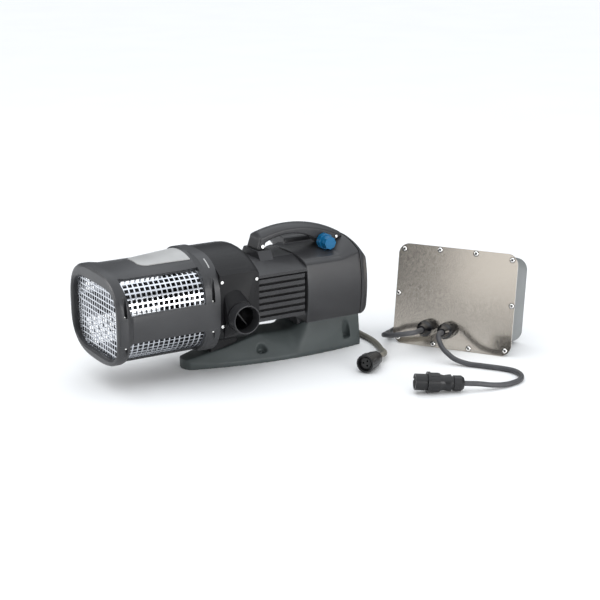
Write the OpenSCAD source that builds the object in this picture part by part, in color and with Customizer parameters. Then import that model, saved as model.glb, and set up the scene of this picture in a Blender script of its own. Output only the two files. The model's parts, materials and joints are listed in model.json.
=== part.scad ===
// Submersible pond pump with a strainer cage, and its free-standing control box.
// +X runs from the strainer to the motor, the outlet points to -Y, +Z is up.
// The origin is on the floor, at the centre of the four screw holes of the foot.

/* [Strainer] */
// Distance from the foot's centre forward to the strainer's front face
front_reach = 424; // [404:1:430]
// Height of the pump axis above the floor
axis_h = 136; // [132:1:140]
// Half width of the front frame
frame_w = 112; // [109:1:115]
// Half height of the front frame
frame_h = 89; // [87:1:92]
// Half width of the cage behind the frame
cage_w = 101; // [99:1:103]
// Half height of the cage behind the frame
cage_h = 87; // [85:1:88]
// Thickness of the cage walls
wall = 4; // [3:0.5:5]
// Spacing of the square mesh holes
mesh_pitch = 10.4; // [9:0.1:12]
// Side of a square mesh hole
mesh_hole = 8; // [6:0.1:8.4]
// Thickness of the mesh sheet
mesh_t = 1.2; // [1:0.1:2]

/* [Pump housing and motor] */
// Half width of the pump housing
housing_w = 98; // [95:1:100]
// Height of the top of the housing above the floor
housing_top = 234; // [230:1:238]
// Radius of the pump chamber
chamber_r = 70; // [66:1:72]
// Radius of the impeller
impeller_r = 52; // [46:1:53]
// Radius of the outlet bore
outlet_r = 25; // [22:0.5:25.5]
// Outer radius of the outlet collar
collar_r = 27.5; // [26.5:0.5:29]
// Height of the outlet axis above the floor
outlet_h = 121; // [118:1:126]
// How far the outlet's mouth stands from the pump's middle
outlet_reach = 135; // [130:1:145]
// Spacing of the cooling fins
fin_pitch = 12.5; // [11:0.5:13]
// Thickness of one cooling fin
fin_t = 7; // [5:0.5:8]

/* [Rear cover and handle] */
// Half width of the rear cover
cover_w = 88; // [86:1:92]
// Radius of the arch along the top of the handle and cover
arch_r = 232; // [230:0.5:236]
// Half width of the handle
handle_w = 22; // [18:1:24]
// Radius of the blue port cap
cap_r = 15; // [13:0.5:15.5]

/* [Foot] */
// Length between the front and rear screw holes
foot_span = 190; // [170:1:200]
// Width between the screw holes
foot_gauge = 90; // [84:1:94]
// Half width of the foot at its widest
foot_w = 62; // [60:1:66]
// Height of the foot under the rear cover
foot_h = 70; // [68:0.5:71]

/* [Control box] */
// Width of the cover plate
plate_w = 245; // [230:1:260]
// Height of the cover plate
plate_h = 202; // [190:1:215]
// Depth of the box behind the plate
box_d = 97; // [90:1:104]
// How far the plate stands out past the box above and below
plate_lip = 16; // [14:0.5:18]
// How far the plate stands out past the box at its sides
side_lip = 7; // [6:0.5:10]
// Turn of the box about the vertical
box_yaw = -55; // [-60:1:-50]

/* [Leads] */
// Diameter of the pump's lead
lead_d = 11; // [10:0.5:11.5]
// Diameter of the two box leads
box_lead_d = 10; // [9:0.5:10.5]
// Turns in one layer of the stored supply lead
coil_turns = 3; // [2:1:4]
// Radius at the middle of the coil's turns
coil_r = 55; // [52:1:58]

/* [Hidden] */

$fn = 64;
plastic = [0.20, 0.20, 0.21];
foot_grey = [0.33, 0.36, 0.36];
steel = [0.78, 0.78, 0.77];
rubber = [0.16, 0.16, 0.16];
lead_grey = [0.29, 0.29, 0.28];
blue = [0.05, 0.42, 0.68];

// Stations along the pump
front_x = -front_reach;
mesh_x = front_x + 10;
cage_x = front_x + 34;
ring_x = -240;
ring_end = -213;
chamber_end = -162;
housing_end = -130;
motor_end = -16;
cover_end = 107;
outlet_x = -176;
cap_x = 57;
cap_h = 218;

// Strainer details
frame_n = 2.9;
cage_n = 2.9;
frame_mid = axis_h - 0.5;
window_n = 4.5;
window_mid = axis_h - 6;
window_w = frame_w - 14;
window_h = frame_h - 22;
band_r = 132;
band_front = 221.5;
band_lo = 102;
band_hi = 150;
ledge = 4;
ring_mid = 138.5;
ring_h = 95.5;
mesh_cols = 16;
mesh_rows = 7;
upper_angle = 5.8;
lower_angle = 4.9;
upper_from = 9.5;
lower_from = -20;
groove_r = 3.6;
screw_bore = 2.1;
screw_spots = [[front_x + 15, frame_w - 8], [ring_x + 13, cage_w - 7]];

// Rotor details
shaft_r = 5;
bearing_gap = 0.05;
can_r = 34;
stator_r = 46;

// Rear cover details
dome_r = 300;
dome_top = housing_top - 28;
tail_x = 66;
tail_r = 140;
tail_top = housing_top - 9.5;
flank_r = 230;
shoulder_r = 14;
shoulder_h = 182;
cover_bottom = 75;
arch_mid = [-10, housing_top + 23.5 - arch_r];
crown = 7;
gap_r = 118;
gap_mid = [-21, 122];
handle_front = -90;
motor_top = 202;
pad_top = 216;
hood = [6, 90, 40, 217];

// Foot details
foot_front = -247;
foot_rear = 129;
foot_arc = 732;
foot_mid = 4;
rim_h = 10;
foot_wall = 4;
ledge_h = 19;
saddle_w = 30;
// Stations of the foot's upper part: place along X, half width at the rim, half width and height at its top
foot_spots = [[foot_front, 21, 15, 19.5], [-165, 41.5, 28, 36], [-95, 54.5, saddle_w, 52.5],
  [-25, 60.5, saddle_w, 50], [13, foot_w - 1, 46, foot_h], [foot_rear, 51, 44, foot_h - 6]];
foot_line = [for (p = foot_spots) [p[0], p[3]]];
function foot_top(x) = lookup(x, foot_line);

// Control box details
plate_t = 3;
gasket_t = 2;
box_tilt = atan(plate_lip / box_d);
box_place = [264, -173];
plate_corner = 22;
body_corner = 24;
cover_bore = 1.4;
gland_s = [-50, -8];
gland_z = 38;
gland_r = 17;
gland_len = 40;
cover_spots = [for (s = [-1, 1]) each [[s * 111, 11.5], [s * 37, 6.5], [s * 117, plate_h / 2],
  [s * 37, plate_h - 6.5], [s * 111, plate_h - 11.5]]];

// Round connectors: each lies on the floor along its own direction, its tail dipping
connector_face = [37, -207, 19.5];
connector_turn = 32;
connector_dip = 4;
connector_len = 62;
plug_face = [55, -344, 22];
plug_turn = -25;
plug_dip = 4;
plug_len = 91;

function unit(v) = v / norm(v);
function squircle(a, b, n, k = 72) = [for (i = [0 : k - 1])
  let (c = cos(360 * i / k), s = sin(360 * i / k))
  [a * sign(c) * pow(abs(c), 2 / n), b * sign(s) * pow(abs(s), 2 / n)]];

// Points of a smooth curve through the given points, steps to each span
function slope(a, b, c) = let (h = norm(b - a), k = norm(c - b))
  h == 0 ? (c - b) / k : k == 0 ? (b - a) / h : ((b - a) * k / h + (c - b) * h / k) / (h + k);
function spline(p, steps) = [for (i = [0 : len(p) - 2]) for (j = [0 : steps - (i < len(p) - 2 ? 1 : 0)])
  let (a = p[max(i - 1, 0)], b = p[i], c = p[i + 1], d = p[min(i + 2, len(p) - 1)], t = j / steps,
    m = norm(c - b) * slope(a, b, c), n = norm(c - b) * slope(b, c, d))
  (2 * t - 3) * t * t * (b - c) + b + (t - 1) * (t - 1) * t * m + (t - 1) * t * t * n];

// Tube of n sides swept along a path, with square ends
module tube(path, r, n) {
  last = len(path) - 1;
  ring = [for (i = [0 : last])
    let (t = unit(path[min(i + 1, last)] - path[max(i - 1, 0)]),
      side = unit(cross(t, abs(t[2]) > 0.9 ? [1, 0, 0] : [0, 0, 1])),
      top = cross(side, t))
    [for (k = [0 : n - 1]) path[i] + r * (cos(360 * k / n) * side + sin(360 * k / n) * top)]];
  points = [for (g = ring) each g];
  skin = [for (i = [0 : last - 1]) for (k = [0 : n - 1])
    let (a = i * n + k, b = i * n + (k + 1) % n)
    each [[a, b, a + n], [b, b + n, a + n]]];
  start = [for (k = [1 : n - 2]) [0, k + 1, k]];
  finish = [for (k = [1 : n - 2]) [last * n, last * n + k, last * n + k + 1]];
  polyhedron(points, concat(skin, start, finish));
}

// A (Y, Z) outline extruded along X
module along_x(x1, x2) translate([x1, 0, 0]) rotate([90, 0, 90]) linear_extrude(x2 - x1) children();
// An (X, Z) outline extruded across the pump, to half width w on both sides
module across(w) rotate([90, 0, 0]) linear_extrude(2 * w, center = true) children();
// A round bar along the pump axis
module axis_bar(r, x1, x2) translate([x1, 0, axis_h]) rotate([0, 90, 0]) cylinder(r = r, h = x2 - x1);
module axis_tube(r, bore, x1, x2) difference() {
  axis_bar(r, x1, x2);
  axis_bar(bore, x1 - 1, x2 + 1);
}
// A bar along -Y, starting at distance y1 from the middle
module side_bar(x, z, r, y1, y2) translate([x, -y1, z]) rotate([90, 0, 0]) cylinder(r = r, h = y2 - y1);
module both_sides() for (s = [0, 1]) mirror([0, s, 0]) children();
module slab(z1, z2) translate([front_x - 10, -200, z1]) cube([front_reach, 400, z2 - z1]);

// Strainer
module frame_outline(inset) translate([0, frame_mid])
  polygon(squircle(frame_w - inset, frame_h - inset, frame_n));
module cage_outline(inset) translate([0, axis_h]) polygon(squircle(cage_w - inset, cage_h - inset, cage_n));
module ring_outline(inset) translate([0, ring_mid]) polygon(squircle(cage_w - inset, ring_h - inset, cage_n));
module window_outline(grow) translate([0, window_mid])
  polygon(squircle(window_w + grow, window_h + grow, window_n));
module slice(x) along_x(x, x + 0.1) children();
// A body that changes along X from its first outline to its second
module loft(x1, x2) hull() {
  slice(x1) children(0);
  slice(x2 - 0.1) children(1);
}

// Fan of directions from the pump axis that holds one mesh panel
module fan(from, to) translate([0, axis_h]) polygon([[0, 0], [240 * cos(from), 240 * sin(from)],
  [260 * cos((from + to) / 2), 260 * sin((from + to) / 2)], [240 * cos(to), 240 * sin(to)]]);
upper_span = mesh_rows * upper_angle;
lower_span = mesh_rows * lower_angle;
// Opening for an upper panel, its front end leaning with the frame's flange
module upper_opening() intersection() {
  along_x(front_x + 19, ring_x - 3) mirror([1, 0]) fan(upper_from, upper_from + upper_span);
  translate([front_x + 30, -200, band_hi]) rotate([0, -11, 0]) cube([220, 200, 120]);
}
module lower_opening() along_x(front_x + 25, ring_x - 3)
  mirror([1, 0]) fan(lower_from - lower_span, lower_from);
module groove() {
  cylinder(r = groove_r, h = 60);
  translate([0.4 - groove_r, -20, 0]) cube([2 * groove_r - 0.8, 20, 60]);
}

module top_band_slice(x, top, half) slice(x) intersection() {
  translate([0, top - band_r]) circle(band_r);
  translate([-half, 190]) square([2 * half, 60]);
}
module top_band() hull() {
  top_band_slice(front_x + 26, band_front, 64);
  top_band_slice(ring_x + 4, housing_top, 76);
}

module cage_solid() difference() {
  union() {
    loft(front_x, front_x + 2) {
      frame_outline(6);
      frame_outline(2);
    }
    loft(front_x + 2, front_x + 6) {
      frame_outline(2);
      frame_outline(0);
    }
    along_x(front_x + 6, front_x + 19) frame_outline(0);
    loft(front_x + 19, cage_x) {
      frame_outline(0);
      cage_outline(0);
    }
    along_x(cage_x, ring_x - 8) cage_outline(0);
    loft(ring_x - 8, ring_x + 4) {
      cage_outline(0);
      ring_outline(0);
    }
    along_x(ring_x + 4, ring_end) ring_outline(0);
    top_band();
  }
  loft(front_x - 1, front_x + 3) {
    window_outline(4);
    window_outline(0);
  }
  along_x(front_x + 2, mesh_x + 1) window_outline(0);
  along_x(mesh_x, ring_x) cage_outline(wall);
  along_x(ring_x - 1, ring_end + 1) ring_outline(15);
  both_sides() {
    upper_opening();
    lower_opening();
  }
  both_sides() for (p = screw_spots) translate([p[0], -p[1], 0]) {
    translate([0, 0, band_hi + ledge]) groove();
    translate([0, 0, band_lo - ledge - 60]) groove();
    translate([0, 0, band_lo - ledge - 1]) cylinder(r = screw_bore, h = ledge + 18);
    translate([0, 0, band_hi - 17]) cylinder(r = screw_bore, h = ledge + 18);
  }
}
module upper_shell() color(plastic) intersection() {
  cage_solid();
  slab(band_hi, 260);
}
module side_band() color(plastic) intersection() {
  cage_solid();
  slab(band_lo, band_hi);
  translate([front_x - 10, -200, 0]) cube([front_reach, 200, 260]);
}
module side_band_right() side_band();
module side_band_left() mirror([0, 1, 0]) side_band();
module lower_shell() color(plastic) intersection() {
  cage_solid();
  slab(20, band_lo);
}

// Flat perforated sheet behind the front window
module front_mesh() color(steel) along_x(mesh_x, mesh_x + mesh_t) difference() {
  intersection() {
    window_outline(7);
    cage_outline(wall);
  }
  for (i = [-9 : 9]) for (j = [-6 : 6])
    let (y = i * mesh_pitch, z = j * mesh_pitch)
      if (pow(abs(y) / window_w, window_n) + pow(abs(z) / window_h, window_n) < 1.02)
        translate([y, window_mid + z]) square(mesh_hole, center = true);
}

// Perforated sheet bent over a corner of the cage, on the -Y side, step degrees to each row of holes
module bent_mesh(from, step) difference() {
  along_x(mesh_x + 2, ring_x) intersection() {
    difference() {
      cage_outline(wall);
      cage_outline(wall + mesh_t);
    }
    mirror([1, 0]) fan(from - 1.5, from + mesh_rows * step + 1.5);
  }
  for (i = [0 : mesh_cols - 1]) for (j = [0 : mesh_rows - 1])
    translate([front_x + 20 + i * mesh_pitch, 0, axis_h]) rotate([-(from + (j + 0.5) * step), 0, 0])
      translate([0, -105, 0]) cube([mesh_hole, 50, mesh_hole - 0.8], center = true);
}
module upper_mesh_right() color(steel) bent_mesh(upper_from, upper_angle);
module upper_mesh_left() color(steel) mirror([0, 1, 0]) bent_mesh(upper_from, upper_angle);
module lower_mesh_right() color(steel) bent_mesh(lower_from - lower_span, lower_angle);
module lower_mesh_left() color(steel) mirror([0, 1, 0]) bent_mesh(lower_from - lower_span, lower_angle);

module cage_screw() {
  translate([0, 0, -14]) cylinder(r = screw_bore, h = 14);
  difference() {
    cylinder(r = 3.3, h = 2.6);
    translate([0, 0, 1.4]) cylinder(r = 1.6, h = 2, $fn = 6);
  }
}
module cage_screws() color(steel) both_sides() for (p = screw_spots) {
  translate([p[0], -p[1], band_hi + ledge]) cage_screw();
  translate([p[0], -p[1], band_lo - ledge]) mirror([0, 0, 1]) cage_screw();
}

// Bare trim plate on the top band, rounded at its front end
module top_plate() color([0.78, 0.77, 0.75]) intersection() {
  translate([0, 0, 1.4]) top_band();
  translate([0, 0, 210]) linear_extrude(40) union() {
    translate([-299, 0]) circle(41);
    translate([-299, -41]) square([50, 82]);
  }
  difference() {
    slab(190, 260);
    top_band();
  }
}

// Pump housing
module housing_outline(drop) intersection() {
  translate([0, housing_top - drop - 166]) circle(166);
  translate([-housing_w, 58]) square([2 * housing_w, 200]);
  translate([0, 175]) circle(125);
}
module pump_housing() color(plastic) difference() {
  union() {
    along_x(ring_end, housing_end - 18) housing_outline(0);
    hull() {
      slice(housing_end - 18) housing_outline(0);
      slice(housing_end - 9) housing_outline(0.7);
      slice(housing_end - 4) housing_outline(2.5);
      slice(housing_end - 0.1) housing_outline(5);
    }
    hull() {
      translate([outlet_x, -housing_w + 6, outlet_h]) rotate([90, 0, 0]) linear_extrude(1)
        polygon([[-27, 52], [-9, 58], [0, 55], [20, 28], [24, -10], [22, -42], [-27, -42]]);
      side_bar(outlet_x, outlet_h, 30, outlet_reach - 25, outlet_reach - 24);
    }
    across(24) translate([0, 0.1]) polygon([[-195, foot_top(-195)], [-165, foot_top(-165)],
      [-139, foot_top(-139)], [-139, 66], [-195, 66]]);
  }
  axis_bar(chamber_r, ring_end - 1, chamber_end);
  axis_bar(can_r, chamber_end - 1, housing_end + 1);
  axis_bar(can_r + 9, chamber_end - 1, chamber_end + 3);
  side_bar(outlet_x, outlet_h, outlet_r, 57, outlet_reach + 1);
}
module outlet_collar() color(plastic) difference() {
  union() {
    side_bar(outlet_x, outlet_h, collar_r, outlet_reach - 24, outlet_reach - 1);
    translate([outlet_x, 1 - outlet_reach, outlet_h]) rotate([90, 0, 0])
      cylinder(r1 = collar_r, r2 = collar_r - 0.8, h = 1);
  }
  side_bar(outlet_x, outlet_h, outlet_r, outlet_reach - 30, outlet_reach + 1);
}
// Disc that closes the chamber, with the inlet eye and the front bearing's three spokes
eye_r = 36;
module inlet_cover() color(plastic) {
  axis_tube(chamber_r, eye_r, ring_end - 6, ring_end + 4);
  axis_tube(14, 9, ring_end - 4, ring_end + 12);
  difference() {
    for (a = [0 : 120 : 240]) translate([ring_end - 4, 0, axis_h]) rotate([a, 0, 0])
      translate([0, -3, 12]) cube([8, 6, eye_r - 11]);
    axis_bar(9, ring_end - 8, ring_end + 14);
  }
}
module housing_seal() color(rubber) axis_tube(chamber_r, chamber_r - 4, ring_end + 4, ring_end + 7);

// Rotor
module impeller() color([0.30, 0.30, 0.31]) difference() {
  union() {
    axis_bar(impeller_r, chamber_end - 8, chamber_end - 4);
    axis_bar(16, ring_end + 14, chamber_end + 8);
    for (a = [0 : 60 : 300]) translate([chamber_end - 30, 0, axis_h]) rotate([a, 0, 0])
      translate([0, 8, 4]) cube([24, 2.5, impeller_r - 8]);
  }
  axis_bar(shaft_r, ring_end, chamber_end + 20);
}
module rotor_shaft() color(steel) axis_bar(shaft_r, ring_end - 2, motor_end - 27);
module rotor_magnet() color([0.25, 0.25, 0.27])
  axis_tube(can_r - 3.5, shaft_r, chamber_end + 24, motor_end - 44);
module front_bearing() color([0.85, 0.84, 0.80])
  axis_tube(9, shaft_r + bearing_gap, ring_end - 4, ring_end + 12);
module rear_bearing() color([0.85, 0.84, 0.80])
  axis_tube(12, shaft_r + bearing_gap, motor_end - 40, motor_end - 26);
module rotor_can() color([0.62, 0.63, 0.64]) difference() {
  union() {
    axis_bar(can_r + 9, chamber_end, chamber_end + 3);
    axis_bar(can_r, chamber_end, motor_end - 24);
  }
  axis_bar(can_r - 2, chamber_end - 1, motor_end - 40);
  axis_bar(12, motor_end - 42, motor_end - 26);
}
module stator() color([0.55, 0.35, 0.18]) axis_tube(stator_r, can_r, housing_end + 12, motor_end - 30);

// Finned motor housing
fin_count = 7;
module fin(k) for (s = [-1, 1]) translate([s * 80, 99 + fin_pitch * k]) square([14, fin_t], center = true);
module motor_outline() {
  translate([-74, 94]) square([148, 92]);
  translate([-56, 90]) square([112, 20]);
  polygon([[-84, 180], [-84, 186], [-30, motor_top], [30, motor_top], [84, 186], [84, 180]]);
}
module motor_housing() color(plastic) difference() {
  union() {
    along_x(housing_end, motor_end) motor_outline();
    along_x(housing_end + 4, motor_end - 7) for (k = [0 : fin_count - 1]) fin(k);
    along_x(handle_front - 3, handle_front + 26)
      polygon([[-42, motor_top - 8], [-27, pad_top], [27, pad_top], [42, motor_top - 8]]);
  }
  axis_bar(stator_r, housing_end - 1, motor_end - 30);
  axis_bar(can_r, motor_end - 31, motor_end - 24);
}
// Four screws hold the pump housing to the strainer ring, four hold the motor to the housing
housing_spots = [[ring_end + 4, 189], [ring_end + 4, 104], [housing_end - 6, 186], [housing_end - 6, 104]];
module housing_screws() color(steel) both_sides() for (p = housing_spots)
  translate([p[0], -housing_w, p[1]]) rotate([90, 0, 0]) difference() {
    cylinder(r = 3, h = 2.4);
    translate([0, 0, 1.2]) cylinder(r = 1.5, h = 2, $fn = 6);
  }

// Rear cover: bowed flanks, a low dome, and a tail that rises to meet the handle's arch
module flanks(inset) intersection_for (s = [-1, 1])
  translate([s * (flank_r - cover_w + inset), 130]) circle(flank_r, $fn = 240);
module cover_outline() intersection() {
  translate([0, dome_top - dome_r]) circle(dome_r, $fn = 360);
  translate([-100, cover_bottom]) square([200, 200]);
  flanks(0);
  union() {
    translate([-100, 60]) square([200, shoulder_h - 60]);
    translate([-69, 60]) square([138, 200]);
    for (s = [-1, 1]) translate([s * 69, shoulder_h]) circle(shoulder_r);
  }
}
module tail_outline(inset, low, top) intersection() {
  translate([0, top - tail_r]) circle(tail_r, $fn = 180);
  translate([-100, cover_bottom + low]) square([200, 200]);
  flanks(inset);
}
module tail() loft(tail_x, cover_end) {
  cover_outline();
  tail_outline(0, 0, tail_top);
}
// Hood of the lead's entry, on the far shoulder
module hood_outline() {
  translate([hood[2], 180]) square([cover_w - hood[2], hood[3] - 188]);
  translate([hood[2] + 8, 180]) square([cover_w - hood[2] - 16, hood[3] - 180]);
  for (y = [hood[2] + 8, cover_w - 8]) translate([y, hood[3] - 8]) circle(8);
}
module hand_gap() intersection() {
  translate(gap_mid) circle(gap_r, $fn = 120);
  translate([handle_front + 18, motor_top - 10]) square([140, 60]);
}
module rear_cover() color(plastic) difference() {
  union() {
    along_x(motor_end, tail_x) cover_outline();
    tail();
    along_x(hood[0], hood[1]) hood_outline();
    across(36) translate([0, 0.1]) polygon([[motor_end + 2, 86], [motor_end + 2, 80], [-8, foot_top(-8)],
      [13, foot_top(13)], [cover_end, foot_top(cover_end)], [cover_end, 86]]);
  }
  side_bar(cap_x, cap_h, cap_r + 2, handle_w, cover_w);
}
module end_cap() color(plastic) hull() {
  slice(cover_end) tail_outline(0, 0, tail_top);
  slice(cover_end + 5) tail_outline(0.3, 1.5, tail_top - 2.5);
  slice(cover_end + 10) tail_outline(1.2, 5, tail_top - 6.5);
  slice(cover_end + 14) tail_outline(3.3, 10, tail_top - 12);
  slice(cover_end + 17) tail_outline(6.8, 16, tail_top - 19);
  slice(cover_end + 19) tail_outline(13, 26, tail_top - 29);
}
// Handle: an arch with a crowned back, bolted to the motor's pad and let into the cover's tail
crown_line = [for (y = [-handle_w : handle_w / 6 : handle_w + 0.01])
  [arch_r - crown * pow(abs(y) / handle_w, 2.2), y]];
nose_mid = handle_front + 24;
nose_line = [for (a = [180 : -15 : 90]) [nose_mid + 17.5 * cos(a), 234 + 17.5 * sin(a)]];
module handle() color(plastic) difference() {
  intersection() {
    translate([arch_mid[0], 0, arch_mid[1]]) rotate([90, 0, 0])
      rotate_extrude($fn = 240) polygon(concat([[150, -handle_w]], crown_line, [[150, handle_w]]));
    across(handle_w + 1) difference() {
      polygon(concat([[handle_front, pad_top]], nose_line, [[nose_mid, 270], [cover_end, 270],
        [cover_end, 195], [0, 195], [0, pad_top]]));
      hand_gap();
    }
  }
  along_x(-20, tail_x) cover_outline();
  tail();
}
module handle_screws() color(steel) both_sides() {
  side_bar(-79, 223, 4, handle_w, handle_w + 2.4);
  side_bar(88, 222, 3, handle_w, handle_w + 1.6);
}

// Capped port on the handle's side
module port_socket() color(plastic) side_bar(cap_x, cap_h, 9, handle_w, handle_w + 14);
module port_cap() color(blue) difference() {
  union() {
    side_bar(cap_x, cap_h, cap_r, handle_w + 1, handle_w + 14);
    side_bar(cap_x, cap_h, cap_r - 3, handle_w + 14, handle_w + 18);
    translate([cap_x, -handle_w - 18, cap_h]) rotate([90, 0, 0]) cylinder(r = cap_r - 2.5, h = 11, $fn = 8);
    for (a = [0 : 45 : 315]) translate([cap_x, -handle_w - 2, cap_h]) rotate([0, a, 0])
      translate([0, 0, cap_r - 0.6]) rotate([90, 0, 0]) cylinder(r = 1.6, h = 11);
  }
  side_bar(cap_x, cap_h, 9.06, handle_w, handle_w + 14.5);
}

// Foot: a hollow moulding, bowed in plan, with a low rim, leaning sides, a saddle under the motor and
// four scooped screw pockets
module foot_plan(h, w) intersection() {
  translate([foot_mid, foot_arc - w, 0]) cylinder(r = foot_arc, h = h, $fn = 360);
  translate([foot_mid, w - foot_arc, 0]) cylinder(r = foot_arc, h = h, $fn = 360);
  union() {
    translate([foot_front + 23, -100, 0]) cube([foot_rear - foot_front - 23, 200, h]);
    translate([foot_front + 28, 0, 0]) cylinder(r = 28, h = h);
  }
}
module foot_section(p, t) polygon([[-p[1] + t, -1], [-p[1] + t, rim_h], [-p[2] + t, p[3] - t],
  [p[2] - t, p[3] - t], [p[1] - t, rim_h], [p[1] - t, -1]]);
module foot_body(spots, t) for (i = [0 : len(spots) - 2]) loft(spots[i][0], spots[i + 1][0]) {
  foot_section(spots[i], t);
  foot_section(spots[i + 1], t);
}
module scoop(grow) translate([0, 0, ledge_h]) rotate([10, 0, 0])
  cylinder(r1 = 11 + grow, r2 = 4 + grow, h = 46);
module foot_screw_spots() for (x = [-1, 1]) for (y = [0, 1]) mirror([0, y, 0])
  translate([x * foot_span / 2, -foot_gauge / 2, 0]) children();
foot_inside = [[foot_front + 8, 19, 14, 19.5], [-95, 54.5, saddle_w, 50], [foot_rear - 5, 51, saddle_w, 48]];
module base() color(foot_grey) difference() {
  intersection() {
    union() {
      foot_body(foot_spots, 0);
      translate([foot_front, -100, 0]) cube([400, 200, rim_h]);
    }
    foot_plan(100, foot_w);
  }
  difference() {
    foot_body(foot_inside, foot_wall);
    foot_screw_spots() {
      translate([0, 0, -2]) cylinder(r = 14, h = ledge_h + 2);
      scoop(3);
    }
  }
  foot_screw_spots() {
    scoop(0);
    translate([0, 0, -1]) cylinder(r = 3, h = 30);
  }
}

// Pump lead: out of the hood on the far shoulder, round behind the pump to its connector
gland_spot = [22, cover_w, 198];
module lead_gland() color(plastic) translate(gland_spot) rotate([-90, 0, 0]) {
  cylinder(r = 13, h = 8, $fn = 6);
  cylinder(r = 11, h = 16);
  translate([0, 0, 16]) cylinder(r1 = 11, r2 = 7, h = 14);
}
lead_low = lead_d / 2 + 0.4;
function heading(turn, dip) = [cos(dip) * cos(turn), cos(dip) * sin(turn), -sin(dip)];
connector_dir = heading(connector_turn, connector_dip);
connector_end = connector_face + connector_len * connector_dir;
lead_route = concat([[22, 118, 198], [22, 125, 198], [22, 132, 198], [22, 145, 195], [23, 157, 188],
  [25, 168, 176], [28, 176, 160], [33, 182, 138], [39, 186, 116], [48, 189, 90], [60, 190, 62],
  [78, 189, 36], [100, 183, 16], [125, 171, 7],
  [146, 151, lead_low], [160, 122, lead_low], [165, 88, lead_low], [162, 52, lead_low], [158, 16, lead_low],
  [156, -16, lead_low], [155, -40, lead_low], [152, -65, lead_low], [145, -91, lead_low], [135, -115, 7]],
  [for (k = [28, 14, 0]) connector_end + k * connector_dir]);
module pump_lead() color(lead_grey) tube(spline(lead_route, 2), lead_d / 2, 10);

// Place for the pieces of a connector: its face at the origin, its body along +Z
module at_connector() translate(connector_face)
  rotate([0, 0, connector_turn]) rotate([0, 90 + connector_dip, 0]) children();
module connector_body() color(plastic) at_connector() {
  difference() {
    translate([0, 0, 10]) cylinder(r = 13, h = 22);
    translate([0, 0, 9]) cylinder(r = 10.5, h = 12);
  }
  translate([0, 0, 23]) cylinder(r = 16, h = 13);
  translate([0, 0, 36]) cylinder(r1 = 15.2, r2 = 14.2, h = 15, $fn = 10);
  translate([0, 0, 51]) cylinder(r1 = 13, r2 = 8, h = connector_len - 51);
}
module connector_ring() color(plastic) at_connector() difference() {
  union() {
    cylinder(r = 17.2, h = 22);
    for (a = [0 : 30 : 330]) rotate(a) translate([17, 0, 5]) cylinder(r = 1, h = 15);
  }
  translate([0, 0, -1]) cylinder(r = 14.4, h = 11);
  cylinder(r = 13.06, h = 40);
}
module connector_insert() color(rubber) at_connector() difference() {
  translate([0, 0, 5]) cylinder(r = 10.5, h = 16);
  for (a = [90, 210, 330]) rotate(a) translate([5.2, 0, 0]) cylinder(r = 1.9, h = 16);
  translate([-2, 8.2, 0]) cube([4, 4, 16]);
}

// Control box, drawn upright with the plate's back face at y = 0 and its lower edge at z = 0
module in_box() translate([box_place[0], box_place[1], 0]) rotate([0, 0, box_yaw]) rotate([-box_tilt, 0, 0])
  children();
module round_rect(w, h, r) translate([-w / 2, 0]) {
  translate([r, 0]) square([w - 2 * r, h]);
  translate([0, r]) square([w, h - 2 * r]);
  for (x = [r, w - r]) for (z = [r, h - r]) translate([x, z]) circle(r);
}
// An (X, Z) outline of the box, between depths y1 and y2 behind the plate
module deep(y1, y2) translate([0, y2, 0]) rotate([90, 0, 0]) linear_extrude(y2 - y1) children();
module body_outline(inset) translate([0, plate_lip + inset])
  round_rect(plate_w - 2 * side_lip - 2 * inset, plate_h - 2 * plate_lip - 2 * inset, body_corner - inset);
module box_body() color([0.55, 0.57, 0.57]) in_box() difference() {
  union() {
    deep(gasket_t, box_d) body_outline(0);
    deep(gasket_t, gasket_t + 3) translate([0, 2]) round_rect(plate_w - 4, plate_h - 4, plate_corner - 2);
  }
  deep(gasket_t - 1, box_d - 4) body_outline(4);
  for (p = cover_spots) translate([p[0], gasket_t + 4, p[1]])
    rotate([90, 0, 0]) cylinder(r = cover_bore, h = 10);
}
module box_gasket() color(rubber) in_box() difference() {
  deep(0, gasket_t) translate([0, 3]) round_rect(plate_w - 6, plate_h - 6, plate_corner - 3);
  deep(-1, gasket_t + 1) body_outline(4);
  for (p = cover_spots) translate([p[0], gasket_t + 1, p[1]])
    rotate([90, 0, 0]) cylinder(r = cover_bore, h = 10);
}
module cover_plate() color(steel) in_box() difference() {
  deep(-plate_t, 0) round_rect(plate_w, plate_h, plate_corner);
  for (p = cover_spots) translate([p[0], 1, p[1]]) rotate([90, 0, 0]) cylinder(r = cover_bore, h = 10);
  for (s = gland_s) translate([s, 1, gland_z]) rotate([90, 0, 0]) cylinder(r = 10, h = 10);
}
module cover_screws() color(steel) in_box() for (p = cover_spots)
  translate([p[0], -plate_t, p[1]]) rotate([90, 0, 0]) {
    translate([0, 0, -plate_t - gasket_t - 3]) cylinder(r = cover_bore, h = plate_t + gasket_t + 4);
    difference() {
      cylinder(r1 = 4, r2 = 3, h = 1.8);
      translate([0, 0, 1]) cylinder(r = 1.5, h = 2, $fn = 6);
    }
  }
module circuit_board() color([0.10, 0.35, 0.20]) in_box() {
  translate([-80, 30, plate_lip + 20]) cube([160, 2, plate_h - 2 * plate_lip - 40]);
  for (x = [-70, 70]) for (z = [plate_lip + 26, plate_h - plate_lip - 26])
    translate([x, 31, z]) rotate([-90, 0, 0]) cylinder(r = 3, h = box_d - 4 - 31);
  translate([-40, 32, 80]) cube([60, 24, 40]);
}
module at_gland(s) in_box() translate([s, -plate_t, gland_z]) rotate([90, 0, 0]) children();
module gland_bodies() color(plastic) for (s = gland_s) at_gland(s) {
  cylinder(r = gland_r, h = 9, $fn = 6);
  cylinder(r = 12, h = 22);
  translate([0, 0, -plate_t - 8]) cylinder(r = 9.9, h = plate_t + 9);
}
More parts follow.
